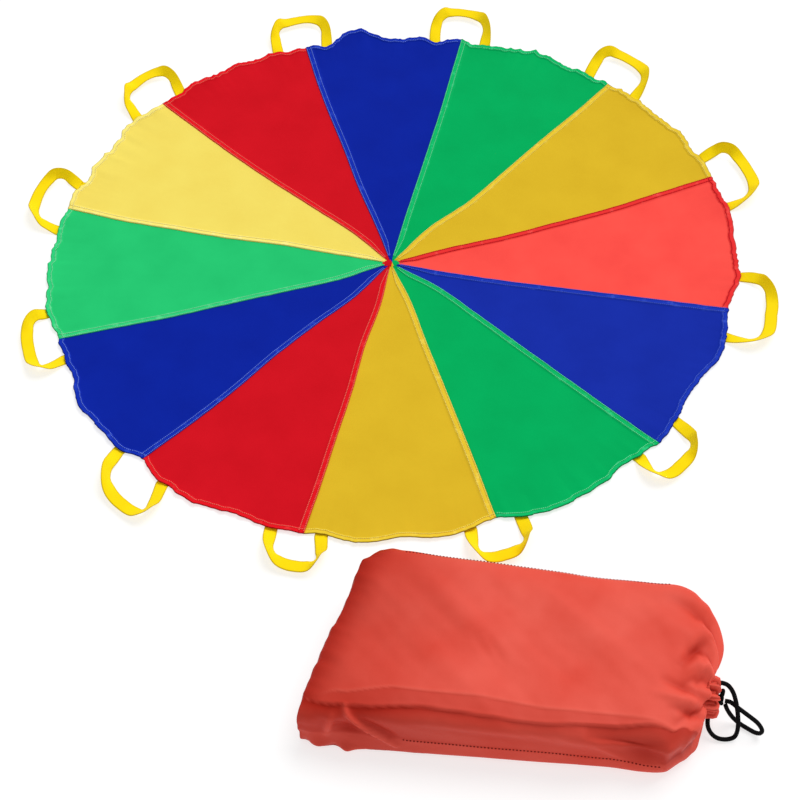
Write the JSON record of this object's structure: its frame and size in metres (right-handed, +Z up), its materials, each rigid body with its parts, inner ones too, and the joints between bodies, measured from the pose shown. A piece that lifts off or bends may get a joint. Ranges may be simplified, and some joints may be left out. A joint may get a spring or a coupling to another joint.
{
  "type": "play parachute",
  "caption": "Round cloth play parachute of coloured wedges with webbing hand loops round its rim, laid flat, with its drawstring bag beside it.",
  "frame": {"origin": "on the floor under the middle of the crown, at the centre of the crown bundle's flat underside", "axes": "+Z up out of the laid canopy, +X to the picture's right and -Y towards its viewer, where the bag lies"},
  "size_m": [1.991, 2.5523, 0.16],
  "materials": {
    "nylon_blue": "satin",
    "nylon_green": "satin",
    "nylon_yellow": "satin",
    "nylon_red": "satin",
    "webbing": "matte",
    "bag_nylon": "satin",
    "cord": "matte"
  },
  "bodies": {
    "canopy": {"gore_01": "nylon_blue", "gore_02": "nylon_green", "gore_03": "nylon_yellow", "gore_04": "nylon_red", "gore_05": "nylon_blue", "gore_06": "nylon_green", "gore_07": "nylon_yellow", "gore_08": "nylon_red", "gore_09": "nylon_blue", "gore_10": "nylon_green", "gore_11": "nylon_yellow", "gore_12": "nylon_red", "handle_01_left_end": "webbing", "handle_01_right_end": "webbing", "handle_02_left_end": "webbing", "handle_02_right_end": "webbing", "handle_03_left_end": "webbing", "handle_03_right_end": "webbing", "handle_04_left_end": "webbing", "handle_04_right_end": "webbing", "handle_05_left_end": "webbing", "handle_05_right_end": "webbing", "handle_06_left_end": "webbing", "handle_06_right_end": "webbing", "handle_07_left_end": "webbing", "handle_07_right_end": "webbing", "handle_08_left_end": "webbing", "handle_08_right_end": "webbing", "handle_09_left_end": "webbing", "handle_09_right_end": "webbing", "handle_10_left_end": "webbing", "handle_10_right_end": "webbing", "handle_11_left_end": "webbing", "handle_11_right_end": "webbing", "handle_12_left_end": "webbing", "handle_12_right_end": "webbing"},
    "crown": {"crown_bundle": "nylon_blue"},
    "loop_01": {"handle_01": "webbing"},
    "loop_02": {"handle_02": "webbing"},
    "loop_03": {"handle_03": "webbing"},
    "loop_04": {"handle_04": "webbing"},
    "loop_05": {"handle_05": "webbing"},
    "loop_06": {"handle_06": "webbing"},
    "loop_07": {"handle_07": "webbing"},
    "loop_08": {"handle_08": "webbing"},
    "loop_09": {"handle_09": "webbing"},
    "loop_10": {"handle_10": "webbing"},
    "loop_11": {"handle_11": "webbing"},
    "loop_12": {"handle_12": "webbing"},
    "bag": {"bag_body": "bag_nylon", "bag_casing": "bag_nylon", "drawstring_pull_loop": "cord", "drawstring_bow": "cord", "drawstring_knot": "cord"}
  },
  "joints": [
    {"name": "crown_lift", "type": "slide", "parent": "canopy", "child": "crown", "axis": [0, 0, 1], "range_m": [0, 0.25], "deforming": ["gore_01", "gore_02", "gore_03", "gore_04", "gore_05", "gore_06", "gore_07", "gore_08", "gore_09", "gore_10", "gore_11", "gore_12"]},
    {"name": "handle_01_hinge", "type": "hinge", "parent": "canopy", "child": "loop_01", "pos_m": [-0.22766, 0.87499, 0.0043], "axis": [0.9856, 0.1689, 0], "range_deg": [0, 150]},
    {"name": "handle_02_hinge", "type": "hinge", "parent": "canopy", "child": "loop_02", "pos_m": [0.23391, 0.86511, 0.0043], "axis": [0.9665, -0.2565, 0], "range_deg": [0, 150]},
    {"name": "handle_03_hinge", "type": "hinge", "parent": "canopy", "child": "loop_03", "pos_m": [0.65667, 0.64686, 0.0043], "axis": [0.7652, -0.6438, 0], "range_deg": [0, 150]},
    {"name": "handle_04_hinge", "type": "hinge", "parent": "canopy", "child": "loop_04", "pos_m": [0.89192, 0.2366, 0.0043], "axis": [0.2277, -0.9737, 0], "range_deg": [0, 150]},
    {"name": "handle_05_hinge", "type": "hinge", "parent": "canopy", "child": "loop_05", "pos_m": [0.87819, -0.2161, 0.0043], "axis": [-0.3074, -0.9516, 0], "range_deg": [0, 150]},
    {"name": "handle_06_hinge", "type": "hinge", "parent": "canopy", "child": "loop_06", "pos_m": [0.63326, -0.63802, 0.0043], "axis": [-0.7188, -0.6953, 0], "range_deg": [0, 150]},
    {"name": "handle_07_hinge", "type": "hinge", "parent": "canopy", "child": "loop_07", "pos_m": [0.21832, -0.86382, 0.0043], "axis": [-0.9754, -0.2205, 0], "range_deg": [0, 150]},
    {"name": "handle_08_hinge", "type": "hinge", "parent": "canopy", "child": "loop_08", "pos_m": [-0.25821, -0.85857, 0.0043], "axis": [-0.9708, 0.2397, 0], "range_deg": [0, 150]},
    {"name": "handle_09_hinge", "type": "hinge", "parent": "canopy", "child": "loop_09", "pos_m": [-0.63901, -0.63891, 0.0043], "axis": [-0.7187, 0.6953, 0], "range_deg": [0, 150]},
    {"name": "handle_10_hinge", "type": "hinge", "parent": "canopy", "child": "loop_10", "pos_m": [-0.8764, -0.19762, 0.0043], "axis": [-0.3056, 0.9522, 0], "range_deg": [0, 150]},
    {"name": "handle_11_hinge", "type": "hinge", "parent": "canopy", "child": "loop_11", "pos_m": [-0.87348, 0.26824, 0.0043], "axis": [0.2791, 0.9602, 0], "range_deg": [0, 150]},
    {"name": "handle_12_hinge", "type": "hinge", "parent": "canopy", "child": "loop_12", "pos_m": [-0.64089, 0.66039, 0.0043], "axis": [0.7752, 0.6317, 0], "range_deg": [0, 150]},
    {"name": "bag_lift", "type": "slide", "parent": "canopy", "child": "bag", "axis": [0, 0, 1], "range_m": [0, 0.3]}
  ]
}
